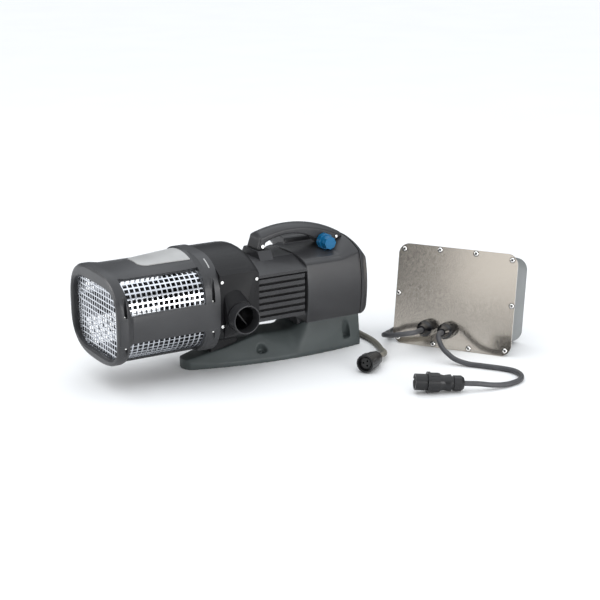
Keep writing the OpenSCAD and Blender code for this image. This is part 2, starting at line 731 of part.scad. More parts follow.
module gland_nuts() color(plastic) for (s = gland_s) at_gland(s) difference() {
  union() {
    translate([0, 0, 10]) cylinder(r = 16, h = 12, $fn = 12);
    translate([0, 0, 22]) cylinder(r1 = 15, r2 = 11, h = 6);
    translate([0, 0, 28]) cylinder(r1 = 11, r2 = 8, h = gland_len - 28);
  }
  translate([0, 0, 9]) cylinder(r = 12, h = 13);
}

// Directions and places of the box in the room
box_side = [cos(box_yaw), sin(box_yaw), 0];
box_out = [sin(box_yaw), -cos(box_yaw), 0];
gland_out = cos(box_tilt) * box_out + sin(box_tilt) * [0, 0, 1];
gland_up = cos(box_tilt) * [0, 0, 1] - sin(box_tilt) * box_out;
function box_floor(s, d, z) = [box_place[0], box_place[1], z] + s * box_side + d * box_out;
function gland_nose(s) = box_floor(s, 0, 0) + gland_z * gland_up + (plate_t + gland_len) * gland_out;
box_low = box_lead_d / 2 + 0.5;

// Output lead: from the right gland down to the floor, round a loop to its plug
plug_dir = heading(plug_turn, plug_dip);
plug_end = plug_face + plug_len * plug_dir;
output_route = concat([for (k = [0, 6, 12]) gland_nose(gland_s[1]) + k * gland_out],
  [[209.5, -204.5, 45.5], [203, -217, 39], [202.5, -231, 27.5], [207, -241, 19.5], [213, -253, 12],
  [221, -265, 8],
  [231, -278, box_low], [242, -293, box_low], [254, -309, box_low], [265, -324, box_low],
  [275, -340, box_low], [280, -356, box_low], [278, -372, box_low], [270, -387, box_low],
  [257, -398, box_low], [240, -404, box_low], [217, -406, 6], [190, -403, 9]],
  [for (k = [28, 14, 0]) plug_end + k * plug_dir]);
module output_lead() color(lead_grey) tube(spline(output_route, 2), box_lead_d / 2, 10);

module at_plug() translate(plug_face) rotate([0, 0, plug_turn]) rotate([0, 90 + plug_dip, 0]) children();
module plug_body() color(plastic) at_plug() difference() {
  union() {
    cylinder(r = 15.2, h = 46);
    translate([0, 0, 46]) cylinder(r1 = 15.8, r2 = 14, h = 8);
    translate([0, 0, 54]) cylinder(r1 = 14, r2 = 15.8, h = 10);
    translate([0, 0, 64]) cylinder(r = 15.8, h = 3);
    translate([0, 0, 67]) cylinder(r = 12.5, h = 5);
  }
  translate([0, 0, -1]) cylinder(r = 12.5, h = 22);
  translate([-2, 11, -1]) cube([4, 6, 12]);
}
module plug_ring() color(plastic) at_plug() difference() {
  union() {
    translate([0, 0, 23]) cylinder(r = 19.5, h = 5);
    translate([0, 0, 28]) cylinder(r = 17.6, h = 17.7);
    for (a = [0 : 30 : 330]) rotate(a) translate([17.4, 0, 29]) cylinder(r = 0.9, h = 15);
  }
  cylinder(r = 15.26, h = 60);
}
module plug_insert() color(rubber) at_plug() {
  translate([0, 0, 14]) cylinder(r = 12.5, h = 7);
  for (a = [90, 210, 330]) rotate(a) translate([5.5, 0, 3]) cylinder(r = 1.6, h = 11.5);
}
module plug_nut() color(plastic) at_plug() {
  translate([0, 0, 72]) cylinder(r = 15, h = 14, $fn = 10);
  translate([0, 0, 86]) cylinder(r1 = 14.2, r2 = 11, h = plug_len - 86);
}

// Supply lead: from the left gland round the plate's edge to a coil that lies behind the box
coil_mid = box_floor(-66, -184, 0);
coil_pitch = box_lead_d + 1.8;
loop_rings = 24;
coil_start = box_yaw + 180;
coil_total = 2 * coil_turns;
function coil_radius(t) = coil_r + coil_pitch * (coil_turns - 1) / 2
  - coil_pitch * (t < coil_turns - 0.5 ? t : t < coil_turns ? coil_turns - 0.5 : coil_total - 0.5 - t);
function coil_height(t) = box_low + coil_pitch * min(max((t - coil_turns + 0.5) * 2, 0), 1);
function coil_point(t) = coil_mid + [coil_radius(t) * cos(coil_start - 360 * t),
  coil_radius(t) * sin(coil_start - 360 * t), coil_height(t)];
coil_loops = [for (i = [0 : coil_total * loop_rings]) coil_point(i / loop_rings)];
coil_in = unit(coil_loops[1] - coil_loops[0]);
coil_out = unit(coil_point(coil_total) - coil_point(coil_total - 0.001));
coil_end = coil_point(coil_total) + 42 * coil_out;
coil_points = concat(coil_loops, [for (k = [14, 28, 42]) coil_point(coil_total) + k * coil_out]);
coil_gap = min([for (i = [0 : len(coil_points) - 1]) for (j = [i + loop_rings / 2 : 1 : len(coil_points) - 1])
  norm(coil_points[i] - coil_points[j])]) - box_lead_d;
echo("least gap between the coil's turns, mm", coil_gap);
module supply_coil() color(lead_grey) tube(coil_points, box_lead_d / 2, 6);

supply_route = concat([for (k = [0, 6, 12]) gland_nose(gland_s[0]) + k * gland_out],
  [box_floor(-53, 63, 47), box_floor(-61, 74, 47), box_floor(-71, 80, 46), box_floor(-82, 82, 44),
  box_floor(-95, 80, 40), box_floor(-110, 71, 36), box_floor(-119, 60, 33), box_floor(-124, 48, 28),
  box_floor(-127, 23, 24), box_floor(-133, 0, 18), box_floor(-138, -24, 12), box_floor(-141, -52, 8),
  box_floor(-141, -84, box_low), box_floor(-138, -118, box_low)],
  [for (k = [40, 20, 0]) coil_loops[0] - k * coil_in]);
module supply_lead() color(lead_grey) tube(spline(supply_route, 2), box_lead_d / 2, 10);

// Two-pin plug at the far end of the supply lead, lying on the floor beside the coil
module supply_plug() color(rubber) translate(coil_end)
  rotate([0, 0, atan2(coil_out[1], coil_out[0])]) rotate([0, 90, 0]) {
    cylinder(r1 = 7, r2 = 10, h = 20);
    translate([0, 0, 20]) cylinder(r = 15, h = 34);
    for (y = [-9.5, 9.5]) translate([0, y, 53]) cylinder(r = 2.4, h = 20);
  }

upper_shell();
side_band_right();
side_band_left();
lower_shell();
front_mesh();
upper_mesh_right();
upper_mesh_left();
lower_mesh_right();
lower_mesh_left();
cage_screws();
top_plate();
inlet_cover();
pump_housing();
housing_seal();
outlet_collar();
impeller();
rotor_shaft();
rotor_magnet();
front_bearing();
rear_bearing();
rotor_can();
stator();
motor_housing();
housing_screws();
rear_cover();
end_cap();
handle();
handle_screws();
port_socket();
port_cap();
base();
lead_gland();
pump_lead();
connector_body();
connector_ring();
connector_insert();
box_body();
box_gasket();
cover_plate();
cover_screws();
circuit_board();
gland_bodies();
gland_nuts();
output_lead();
plug_body();
plug_ring();
plug_insert();
plug_nut();
supply_lead();
supply_coil();
supply_plug();
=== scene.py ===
"""Looks of a submersible pond pump with a strainer cage, and of its free-standing control box.

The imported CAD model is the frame. Its plain nodes stay and get better materials, the visible
mouldings get copies with rounded edges or a flowing skin, the leads are smooth curves along the
CAD routes, and some thin trim is made here alone.
Lengths in the tables below are in millimetres, as in the CAD source; mm() turns them into metres.
Camera, lights, floor and materials are in metres.
"""

import json
from math import atan, cos, pi, radians, sin, tan

import bmesh
import bpy
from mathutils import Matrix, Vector


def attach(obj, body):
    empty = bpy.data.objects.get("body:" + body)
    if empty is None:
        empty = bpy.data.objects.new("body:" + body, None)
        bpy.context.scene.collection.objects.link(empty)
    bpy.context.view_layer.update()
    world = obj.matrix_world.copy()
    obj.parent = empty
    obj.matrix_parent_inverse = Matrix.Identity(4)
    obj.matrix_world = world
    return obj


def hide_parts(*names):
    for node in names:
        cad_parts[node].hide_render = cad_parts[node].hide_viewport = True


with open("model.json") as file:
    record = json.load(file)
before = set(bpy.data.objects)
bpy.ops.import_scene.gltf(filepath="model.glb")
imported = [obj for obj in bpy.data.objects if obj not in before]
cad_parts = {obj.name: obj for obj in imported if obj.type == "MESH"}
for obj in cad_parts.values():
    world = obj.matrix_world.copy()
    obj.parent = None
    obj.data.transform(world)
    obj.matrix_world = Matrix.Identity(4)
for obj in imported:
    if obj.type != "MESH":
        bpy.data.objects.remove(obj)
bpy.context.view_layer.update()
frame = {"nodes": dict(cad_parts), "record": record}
nodes = frame["nodes"]
scene = bpy.context.scene
X, Y, Z = Vector((1, 0, 0)), Vector((0, 1, 0)), Vector((0, 0, 1))


def mm(*values):
    """Millimetres as metres: a number, or a point from three numbers or one vector."""
    if len(values) == 1 and isinstance(values[0], (int, float)):
        return values[0] / 1000
    return Vector(values[0] if len(values) == 1 else values) / 1000


def put(name, data):
    """A new object in the scene."""
    made = bpy.data.objects.new(name, data)
    scene.collection.objects.link(made)
    return made


# Camera, floor and light

CAMERA_PLACE = Vector((-1.4779, -2.4853, 0.9563))
CAMERA_AIM = Vector((0.4945, 0.8214, -0.2844))
CAMERA_LENS = 91.5
CAMERA_CLIP = (0.05, 200)
FLOOR_HALF = 60
# Brightness of the room by the sine of the angle above the horizon
SKY = {"From Min": 0.35, "From Max": 0.80, "To Min": 0.18, "To Max": 1.75}
SKY_COLOUR = (0.94, 0.97, 1.0, 1)
WHITE, COOL = (1, 1, 1), (0.85, 0.92, 1)
# Soft boxes, each with its place, target, size, power and colour
LIGHTS = {
    "left": ((-2.34, -1.67, 0.62), (0.2, -0.2, 0.1), (1.4, 0.9), 3.4, WHITE),
    "front": ((0.6, -2.6, 0.55), (-0.05, -0.1, 0.12), (2.0, 0.8), 36, WHITE),
    "side": ((-2.4, 1.3, 0.85), (-0.40, 0.0, 0.13), (1.4, 0.8), 26, WHITE),
    "back": ((0.2, 1.9, 1.9), (0.0, 0.0, 0.15), (2.6, 0.7), 2, COOL),
}


def aim(thing, place, direction):
    thing.location = place
    thing.rotation_euler = direction.to_track_quat("-Z", "Y").to_euler()


def add_camera():
    data = bpy.data.cameras.new("camera")
    data.lens = CAMERA_LENS
    data.clip_start, data.clip_end = CAMERA_CLIP
    scene.camera = put("camera", data)
    aim(scene.camera, CAMERA_PLACE, CAMERA_AIM)


def add_light(name, place, target, size, power, colour):
    data = bpy.data.lights.new(name, "AREA")
    data.shape = "RECTANGLE"
    data.size, data.size_y = size
    data.energy = power
    data.color = colour
    aim(put(name, data), place, Vector(target) - Vector(place))


def add_studio():
    """A pale floor without an edge in view, a room bright overhead and dim low down, and lights."""
    world = bpy.data.worlds.new("studio")
    world.use_nodes = True
    tree = world.node_tree
    coords = tree.nodes.new("ShaderNodeTexCoord")
    height = tree.nodes.new("ShaderNodeSeparateXYZ")
    tree.links.new(coords.outputs["Generated"], height.inputs["Vector"])
    ramp = tree.nodes.new("ShaderNodeMapRange")
    for socket, value in SKY.items():
        ramp.inputs[socket].default_value = value
    tree.links.new(height.outputs["Z"], ramp.inputs["Value"])
    background = tree.nodes["Background"]
    background.inputs["Color"].default_value = SKY_COLOUR
    tree.links.new(ramp.outputs["Result"], background.inputs["Strength"])
    scene.world = world
    for name, light in LIGHTS.items():
        add_light(name, *light)
    mesh = bpy.data.meshes.new("floor")
    corners = [(x * FLOOR_HALF, y * FLOOR_HALF, 0) for x, y in ((-1, -1), (1, -1), (1, 1), (-1, 1))]
    mesh.from_pydata(corners, [], [(0, 1, 2, 3)])
    mesh.materials.append(plain_floor())
    floor = put("floor", mesh)
    scene.view_settings.view_transform = "Standard"


# Materials

# Sockets of the Mix node when it mixes colours
MIX_A, MIX_B, MIX_RESULT = 6, 7, 2
# Where nearly all of a noise lies
NOISE_SPAN = (0.3, 0.7)
# Cosine of the angle between the true normal and the rounded one, on a face and on a sharp edge
ON_FACE, ON_EDGE = 0.97, 0.80
EDGE_REACH = 0.0012
# Scales of the noises, in cells a metre
FLOOR_TONE, BLOTCH, CLOUD, BRUSH, DUST, RUB, GLOSS, ROLLED, GRAIN, SKIN = (
    3, 9, 14, 30, 60, 90, 160, 350, 1400, 1800)


def shade(colour, factor):
    return tuple(c * factor for c in colour)


class Paint:
    """A Principled material, with short helpers for the nodes that vary it over the surface."""

    def __init__(self, name, colour, rough, metal=0.0, shine=0.5):
        self.material = bpy.data.materials.new(name)
        self.material.use_nodes = True
        self.tree = self.material.node_tree
        self.shader = self.tree.nodes["Principled BSDF"]
        self.shader.inputs["Base Color"].default_value = (*colour, 1)
        self.shader.inputs["Roughness"].default_value = rough
        self.shader.inputs["Metallic"].default_value = metal
        self.shader.inputs["Specular IOR Level"].default_value = shine
        self.coords = self.tree.nodes.new("ShaderNodeTexCoord").outputs["Object"]

    def node(self, kind, **settings):
        made = self.tree.nodes.new(kind)
        for key, value in settings.items():
            setattr(made, key, value)
        return made

    def link(self, output, node, socket):
        self.tree.links.new(output, node.inputs[socket])

    def noise(self, scale, detail=4.0, stretch=(1, 1, 1)):
        """A noise from 0 to 1 over the surface; scale is in cells a metre."""
        mapping = self.node("ShaderNodeMapping")
        mapping.inputs["Scale"].default_value = stretch
        self.link(self.coords, mapping, "Vector")
        noise = self.node("ShaderNodeTexNoise")
        noise.inputs["Scale"].default_value = scale
        noise.inputs["Detail"].default_value = detail
        self.link(mapping.outputs["Vector"], noise, "Vector")
        return noise.outputs["Fac"]

    def ramp(self, value, span, to_low, to_high):
        """Maps value from its span to to_low..to_high, and holds it there."""
        made = self.node("ShaderNodeMapRange")
        for key, number in (("From Min", span[0]), ("From Max", span[1]),
                            ("To Min", to_low), ("To Max", to_high)):
            made.inputs[key].default_value = number
        self.link(value, made, "Value")
        return made.outputs["Result"]

    def tones(self, noise, colour, dark, light, span=NOISE_SPAN):
        """The colour, from dark to light times its brightness along a noise."""
        made = self.node("ShaderNodeValToRGB")
        for element, position, factor in zip(made.color_ramp.elements, span, (dark, light)):
            element.position = position
            element.color = (*shade(colour, factor), 1)
        self.link(noise, made, "Fac")
        return made.outputs["Color"]

    def mix(self, factor, a, b):
        """From a to b by factor; b is an output or a plain colour."""
        made = self.node("ShaderNodeMix", data_type="RGBA")
        self.link(factor, made, "Factor")
        self.link(a, made, MIX_A)
        if isinstance(b, tuple):
            made.inputs[MIX_B].default_value = (*b, 1)
        else:
            self.link(b, made, MIX_B)
        return made.outputs[MIX_RESULT]

    def edges(self, radius):
        """About 1 along sharp edges, 0 on open faces."""
        bevel = self.node("ShaderNodeBevel", samples=4)
        bevel.inputs["Radius"].default_value = radius
        geometry = self.node("ShaderNodeNewGeometry")
        dot = self.node("ShaderNodeVectorMath", operation="DOT_PRODUCT")
        self.link(bevel.outputs["Normal"], dot, 0)
        self.link(geometry.outputs["Normal"], dot, 1)
        return self.ramp(dot.outputs["Value"], (ON_FACE, ON_EDGE), 0.0, 1.0)

    def bump(self, height, strength, distance):
        made = self.node("ShaderNodeBump")
        made.inputs["Strength"].default_value = strength
        made.inputs["Distance"].default_value = distance
        self.link(height, made, "Height")
        self.link(made.outputs["Normal"], self.shader, "Normal")

    def base(self, colour):
        self.link(colour, self.shader, "Base Color")

    def rough(self, value):
        self.link(value, self.shader, "Roughness")


def plain_floor():
    paint = Paint("floor", (0.9, 0.9, 0.9), rough=0.6)
    paint.base(paint.tones(paint.noise(FLOOR_TONE), WHITE, dark=0.89, light=0.91))
    return paint.material


def moulded(name, colour, rough, grain=0.06, wear=0.5, shine=0.5):
    """Moulded plastic: faint cloudy tone, fine spark-eroded grain, and edges rubbed lighter."""
    paint = Paint(name, colour, rough, shine=shine)
    tone = paint.tones(paint.noise(CLOUD, 3), colour, dark=0.86, light=1.12)
    if wear:
        patchy = paint.ramp(paint.noise(RUB, 4), (0.35, 0.7), 0.1, wear)
        edge = paint.node("ShaderNodeMath", operation="MULTIPLY")
        paint.link(paint.edges(EDGE_REACH), edge, 0)
        paint.link(patchy, edge, 1)
        tone = paint.mix(edge.outputs["Value"], tone, shade(colour, 2.4))
    paint.base(tone)
    paint.rough(paint.ramp(paint.noise(GLOSS, 3), NOISE_SPAN, rough - 0.015, rough + 0.025))
    paint.bump(paint.noise(GRAIN, 2), strength=grain, distance=0.0004)
    return paint.material


def steel(name, colour, rough, stretch=(1, 1, 1), scale=ROLLED):
    """Bright steel with fine rolling marks along the direction that stretch leaves long."""
    paint = Paint(name, colour, rough, metal=1.0)
    marks = paint.noise(scale, 5, stretch)
    paint.base(paint.tones(marks, colour, dark=0.9, light=1.05))
    paint.rough(paint.ramp(marks, NOISE_SPAN, rough - 0.06, rough + 0.08))
    paint.bump(marks, strength=0.05, distance=0.0002)
    return paint.material


def brushed(name, colour, rough):
    """Sheet steel brushed up and down: fine upright lines that smear its reflections sideways."""
    paint = Paint(name, colour, rough, metal=1.0)
    lines = paint.noise(BRUSH, 6, stretch=(40, 40, 0.5))
    paint.base(paint.mix(paint.ramp(paint.noise(BLOTCH, 3), NOISE_SPAN, 0.25, 0.75),
                         paint.tones(lines, colour, dark=0.88, light=1.0),
                         paint.tones(lines, colour, dark=0.96, light=1.08)))
    paint.rough(paint.ramp(lines, NOISE_SPAN, rough - 0.04, rough + 0.06))
    paint.bump(lines, strength=0.5, distance=0.00006)
    return paint.material


def sheath(name, colour, rough):
    """Rubber cable sheath: dull, with dusty patches and a fine skin."""
    paint = Paint(name, colour, rough)
    dust = paint.noise(DUST, 5)
    paint.base(paint.tones(dust, colour, dark=0.85, light=1.25, span=(0.35, 0.75)))
    paint.rough(paint.ramp(paint.noise(GLOSS, 3), NOISE_SPAN, rough - 0.06, rough + 0.08))
    paint.bump(paint.noise(SKIN, 2), strength=0.08, distance=0.0003)
    return paint.material


PLASTICS = {
    "black_plastic": dict(colour=(0.033, 0.033, 0.035), rough=0.32, shine=0.30),
    # Darker than black_plastic as painted shade, for the shaded flank between the ring and the neck
    "housing_plastic": dict(colour=(0.008, 0.008, 0.009), rough=0.34, shine=0.20),
    "cage_plastic": dict(colour=(0.031, 0.0315, 0.034), rough=0.38, shine=0.42),
    "gloss_plastic": dict(colour=(0.006, 0.006, 0.007), rough=0.12, grain=0.02, wear=0.2),
    "connector_plastic": dict(colour=(0.013, 0.013, 0.014), rough=0.32, shine=0.35),
    "foot_plastic": dict(colour=(0.055, 0.066, 0.066), rough=0.50, shine=0.4),
    "impeller_plastic": dict(colour=(0.05, 0.05, 0.053), rough=0.45, wear=0),
    "can_plastic": dict(colour=(0.33, 0.34, 0.35), rough=0.40, wear=0),
    "blue_plastic": dict(colour=(0.002, 0.11, 0.25), rough=0.36, shine=0.3, grain=0.03, wear=0.12),
    # Also the colour of the pale strips painted as highlights on the strainer's ring
    "trim_plate": dict(colour=(0.40, 0.40, 0.395), rough=0.36, grain=0.02, wear=0),
    "box_grey": dict(colour=(0.17, 0.178, 0.178), rough=0.5, grain=0.04, wear=0.05),
    "bearing_ceramic": dict(colour=(0.70, 0.68, 0.63), rough=0.2, grain=0, wear=0),
    "board": dict(colour=(0.02, 0.12, 0.05), rough=0.4, wear=0),
}
STEELS = {
    "mesh_steel": dict(colour=(0.62, 0.64, 0.68), rough=0.20),
    "screw_steel": dict(colour=(0.86, 0.85, 0.83), rough=0.16),
    "magnet": dict(colour=(0.10, 0.10, 0.11), rough=0.5),
    "stator_copper": dict(colour=(0.60, 0.30, 0.14), rough=0.35, stretch=(1, 40, 40), scale=40),
}
SHEETS = {"cover_steel": dict(colour=(0.655, 0.60, 0.53), rough=0.13)}
RUBBERS = {
    # Also the dark painted shade in the box screws' sockets and the painted shadow round their
    # heads
    "seal_rubber": dict(colour=(0.022, 0.022, 0.022), rough=0.6),
    "plug_rubber": dict(colour=(0.028, 0.028, 0.030), rough=0.5),
    "pump_cable": dict(colour=(0.145, 0.136, 0.112), rough=0.5),
    "box_cable": dict(colour=(0.052, 0.052, 0.056), rough=0.48),
}
KINDS = ((moulded, PLASTICS), (steel, STEELS), (brushed, SHEETS), (sheath, RUBBERS))
FINISHES = {name: make(name, **look) for make, looks in KINDS for name, look in looks.items()}
SLOTS = {part["node"]: part["material_slot"] for part in frame["record"]["subparts"]}
# Nodes whose plastic differs in colour and gloss from the rest of their slot; the pump housing's
# darker colour is painted shade
OWN_FINISH = {node: finish for finish, members in {
    "cage_plastic": ("upper_shell", "side_band_right", "side_band_left", "lower_shell"),
    "housing_plastic": ("pump_housing",),
    "gloss_plastic": ("gland_bodies", "gland_nuts"),
    "connector_plastic": ("plug_body", "plug_ring", "plug_nut", "connector_body", "connector_ring"),
}.items() for node in members}


def finish_of(name):
    return FINISHES[OWN_FINISH.get(name, SLOTS[name])]


def finish_node(name):
    """Gives a CAD node that stays its own finish."""
    data = nodes[name].data
    data.materials.clear()
    data.materials.append(finish_of(name))


# Leads, along the routes of the CAD tubes

LEAD_D = 11
BOX_LEAD_D = 10
LEAD_LOW = LEAD_D / 2 + 0.4
BOX_LOW = BOX_LEAD_D / 2 + 0.5

BOX_PLACE = Vector((264, -173, 0))
BOX_YAW = radians(-55)
BOX_TILT = atan(16 / 97)
BOX_SIDE = Vector((cos(BOX_YAW), sin(BOX_YAW), 0))
BOX_OUT = Vector((sin(BOX_YAW), -cos(BOX_YAW), 0))
GLAND_OUT = cos(BOX_TILT) * BOX_OUT + sin(BOX_TILT) * Z
GLAND_UP = cos(BOX_TILT) * Z - sin(BOX_TILT) * BOX_OUT
GLAND_Z = 38
GLAND_NOSE = 43
OUTPUT_SIDE, SUPPLY_SIDE = -8, -50
# Straight starts out of a gland and straight ends into a connector
RUN_OUT, RUN_IN = (0, 6, 12), (28, 14, 0)


def heading(turn, dip):
    turn, dip = radians(turn), radians(dip)
    return Vector((cos(dip) * cos(turn), cos(dip) * sin(turn), -sin(dip)))


def box_floor(side, out, z):
    """A place given across and out from the box's plate, at height z."""
    return BOX_PLACE + side * BOX_SIDE + out * BOX_OUT + z * Z


def gland_nose(side):
    return box_floor(side, 0, 0) + GLAND_Z * GLAND_UP + GLAND_NOSE * GLAND_OUT


CONNECTOR_LENGTH, PLUG_LENGTH = 62, 91
CONNECTOR_DIR = heading(32, 4)
CONNECTOR_FACE = Vector((37, -207, 19.5))
CONNECTOR_END = CONNECTOR_FACE + CONNECTOR_LENGTH * CONNECTOR_DIR
PLUG_DIR = heading(-25, 4)
PLUG_FACE = Vector((55, -344, 22))
PLUG_END = PLUG_FACE + PLUG_LENGTH * PLUG_DIR

PUMP_LEAD = [
    (22, 118, 198), (22, 125, 198), (22, 132, 198), (22, 145, 195), (23, 157, 188), (25, 168, 176),
    (28, 176, 160), (33, 182, 138), (39, 186, 116), (48, 189, 90), (60, 190, 62), (78, 189, 36),
    (100, 183, 16), (125, 171, 7), (146, 151, LEAD_LOW), (160, 122, LEAD_LOW), (165, 88, LEAD_LOW),
    (162, 52, LEAD_LOW), (158, 16, LEAD_LOW), (156, -16, LEAD_LOW), (155, -40, LEAD_LOW),
    (152, -65, LEAD_LOW), (145, -91, LEAD_LOW), (135, -115, 7),
    *(CONNECTOR_END + k * CONNECTOR_DIR for k in RUN_IN),
]
OUTPUT_LEAD = [
    *(gland_nose(OUTPUT_SIDE) + k * GLAND_OUT for k in RUN_OUT),
    (209.5, -204.5, 45.5), (203, -217, 39), (202.5, -231, 27.5), (207, -241, 19.5),
    (213, -253, 12), (221, -265, 8), (231, -278, BOX_LOW), (242, -293, BOX_LOW),
    (254, -309, BOX_LOW), (265, -324, BOX_LOW), (275, -340, BOX_LOW), (280, -356, BOX_LOW),
    (278, -372, BOX_LOW), (270, -387, BOX_LOW), (257, -398, BOX_LOW), (240, -404, BOX_LOW),
    (217, -406, 6), (190, -403, 9),
    *(PLUG_END + k * PLUG_DIR for k in RUN_IN),
]

COIL_MID = box_floor(-66, -184, 0)
COIL_R = 55
COIL_TURNS = 3
COIL_PITCH = BOX_LEAD_D + 1.8
COIL_START = BOX_YAW + pi
LOOP_POINTS = 24
# A short way along the coil, in turns
COIL_STEP = 0.001


def coil_point(t):
    """The coil's line after t turns: in along the floor, up a layer, and out again."""
    innermost = COIL_TURNS - 0.5
    if t < COIL_TURNS:
        inward = min(t, innermost)
    else:
        inward = COIL_TURNS + innermost - t
    radius = COIL_R + COIL_PITCH * ((COIL_TURNS - 1) / 2 - inward)
    layer = min(max((t - innermost) * 2, 0), 1)
    angle = COIL_START - 2 * pi * t
    rise = BOX_LOW + COIL_PITCH * layer
    return COIL_MID + Vector((radius * cos(angle), radius * sin(angle), rise))


coil = [coil_point(i / LOOP_POINTS) for i in range(2 * COIL_TURNS * LOOP_POINTS + 1)]
coil_in = (coil[1] - coil[0]).normalized()
coil_out = (coil[-1] - coil_point(2 * COIL_TURNS - COIL_STEP)).normalized()
SUPPLY_LEAD = [
    *(gland_nose(SUPPLY_SIDE) + k * GLAND_OUT for k in RUN_OUT),
    *(box_floor(*p) for p in (
        (-53, 63, 47), (-61, 74, 47), (-71, 80, 46), (-82, 82, 44), (-95, 80, 40), (-110, 71, 36),
        (-119, 60, 33), (-124, 48, 28), (-127, 23, 24), (-133, 0, 18), (-138, -24, 12),
        (-141, -52, 8), (-141, -84, BOX_LOW), (-138, -118, BOX_LOW))),
    *(coil[0] - k * coil_in for k in (40, 20)),
    *coil,
    *(coil[-1] + k * coil_out for k in (14, 28, 42)),
]


def add_lead(name, route, diameter, finish, stands_for):
    """A round lead as one smooth curve, standing in for the CAD nodes that it hides."""
    data = bpy.data.curves.new(name, "CURVE")
    data.dimensions = "3D"
    data.resolution_u = 6
    data.bevel_depth = mm(diameter / 2)
    data.bevel_resolution = 5
    data.use_fill_caps = True
    spline = data.splines.new("BEZIER")
    spline.bezier_points.add(len(route) - 1)
    for point, place in zip(spline.bezier_points, route):
        point.co = mm(*place)
        point.handle_left_type = point.handle_right_type = "AUTO"
    lead = put(name, data)
    data.materials.append(FINISHES[finish])
    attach(lead, "pump")
    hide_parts(*stands_for)


# Mouldings: copies of the CAD nodes with rounded edges or a flowing skin

BODIES = frame["record"]["behaviour"]["bodies"]
BODY_OF = {node: body for body, members in BODIES.items() for node in members}
FLAT = radians(0.05)
# Metres within which points fall together, are cut by a plane, and lie on one
TOUCH, CUT, ON_PLANE = 1e-6, 1e-7, 1e-5
# Edges that turn by more than this many degrees are rounded
EDGE_ANGLE = 30
EDGE_SEGMENTS = 3
# Share of its faces that a skin keeps
SKIN_SHARE = 0.4
# The fold in the foot's flank: its heights, its middle and half length along X, how it fades out
# at its foot, head and ends, and its rounds of smoothing
FOLD_LOW, FOLD_HIGH, FOLD_X, FOLD_HALF = 8, 62, -5, 85
FADE_LOW, FADE_HIGH, FADE_X = 8, 6, 30
FOLD_ROUNDS = 90
# The wedge of wall under each upper window: the wall's least Y, the wedge's height, its ends
# along X and its slope
WALL_Y = 75
WINDOW_SLOPE = tan(radians(11))
WINDOW_FOOT, WINDOW_FRONT, WINDOW_REAR = 153.2, -394 + 3.2 / WINDOW_SLOPE, -243


def bmesh_of(mesh):
    """A mesh to work on, with its double points joined."""
    bm = bmesh.new()
    bm.from_mesh(mesh)
    bmesh.ops.remove_doubles(bm, verts=bm.verts, dist=TOUCH)
    return bm


def open_windows(mesh):
    """Takes the wedge of wall out from under each upper window, down to the window's foot."""
    bm = bmesh_of(mesh)
    foot, rear = mm(WINDOW_FOOT), mm(WINDOW_REAR)

    def wall():
        return [f for f in bm.faces if abs(f.calc_center_median().y) > mm(WALL_Y)]

    for place, normal in (((0, 0, foot), Z), ((rear, 0, 0), X)):
        faces = wall()
        parts = set(faces).union(*(f.edges for f in faces), *(f.verts for f in faces))
        bmesh.ops.bisect_plane(bm, geom=list(parts), dist=CUT, plane_co=place, plane_no=normal)
    gone = []
    for face in wall():
        centre = face.calc_center_median()
        slope = foot + (centre.x - mm(WINDOW_FRONT)) * WINDOW_SLOPE
        if centre.x < rear - TOUCH and foot + TOUCH < centre.z < slope + ON_PLANE:
            gone.append(face)
    bmesh.ops.delete(bm, geom=gone, context="FACES")
    for side in (-1, 1):
        rim = [e for e in bm.edges if e.is_boundary and e.verts[0].co.y * side > 0]
        sill = [e for e in rim if all(abs(v.co.z - foot) < ON_PLANE for v in e.verts)]
        post = [e for e in rim if all(abs(v.co.x - rear) < ON_PLANE for v in e.verts)]
        corner = {v for e in sill for v in e.verts} & {v for e in post for v in e.verts}
        if len(corner) == 2:
            joint = bm.edges.new(sorted(corner, key=lambda v: v.co.y))
            for loop in (sill, post):
                bmesh.ops.contextual_create(bm, geom=loop + [joint])
    bmesh.ops.recalc_face_normals(bm, faces=bm.faces)
    bm.to_mesh(mesh)
    bm.free()


def join_faces(mesh):
    """Joins double points, and neighbouring faces that lie in one plane."""
    bm = bmesh_of(mesh)
    bmesh.ops.dissolve_limit(bm, angle_limit=FLAT, verts=bm.verts, edges=bm.edges)
    bm.to_mesh(mesh)
    bm.free()


def round_edges(piece, width, angle):
    piece.data.shade_smooth()
    piece.data.set_sharp_from_angle(angle=radians(angle))
    bevel = piece.modifiers.new("edges", "BEVEL")
    bevel.width = mm(width)
    bevel.segments = EDGE_SEGMENTS
    bevel.limit_method = "ANGLE"
    bevel.angle_limit = radians(angle)
    bevel.harden_normals = True


def foot_fold(place):
    """How far a place is in the fold of the foot's flank under the motor: 1 there, 0 outside."""
    return min(1, (place.z - FOLD_LOW) / FADE_LOW, (FOLD_HIGH - place.z) / FADE_HIGH,
               (FOLD_HALF - abs(place.x - FOLD_X)) / FADE_X)


def soften(piece, voxel, rounds, fold=None):
    """Makes a moulding one flowing skin: its edges and the flats of its lofts run together."""
    remesh = piece.modifiers.new("skin", "REMESH")
    remesh.mode = "VOXEL"
    remesh.voxel_size = mm(voxel)
    remesh.use_smooth_shade = True
    graph = bpy.context.evaluated_depsgraph_get()
    piece.data = bpy.data.meshes.new_from_object(piece.evaluated_get(graph))
    piece.data.name = piece.name
    piece.modifiers.clear()
    smooth = piece.modifiers.new("flow", "SMOOTH")
    smooth.iterations = rounds
    if fold:
        group = piece.vertex_groups.new(name="fold")
        for vert in piece.data.vertices:
            share = fold(vert.co * 1000)
            if share > 0:
                group.add([vert.index], share, "REPLACE")
        smooth = piece.modifiers.new("fold", "SMOOTH")
        smooth.iterations = FOLD_ROUNDS
        smooth.vertex_group = "fold"
    thin = piece.modifiers.new("thin", "DECIMATE")
    thin.ratio = SKIN_SHARE


